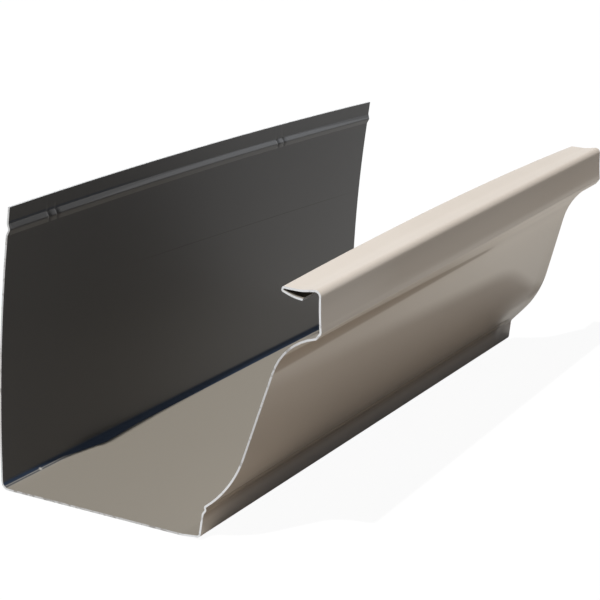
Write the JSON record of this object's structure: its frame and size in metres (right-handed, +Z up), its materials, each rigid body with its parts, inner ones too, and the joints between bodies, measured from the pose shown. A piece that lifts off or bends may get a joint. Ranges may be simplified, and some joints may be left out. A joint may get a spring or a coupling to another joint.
{
  "type": "gutter section",
  "caption": "Short open-topped ogee rain gutter section of painted aluminium sheet, with a flat back and bottom, a moulded front and a folded front lip.",
  "frame": {"origin": "on the underside of the flat bottom, at its middle", "axes": "+X from the back wall to the front lip, +Y along the gutter, +Z up"},
  "size_m": [0.1257, 0.2636, 0.1034],
  "materials": {
    "painted_sheet": "satin"
  },
  "bodies": {
    "root": {"gutter_section": "painted_sheet"}
  },
  "joints": []
}
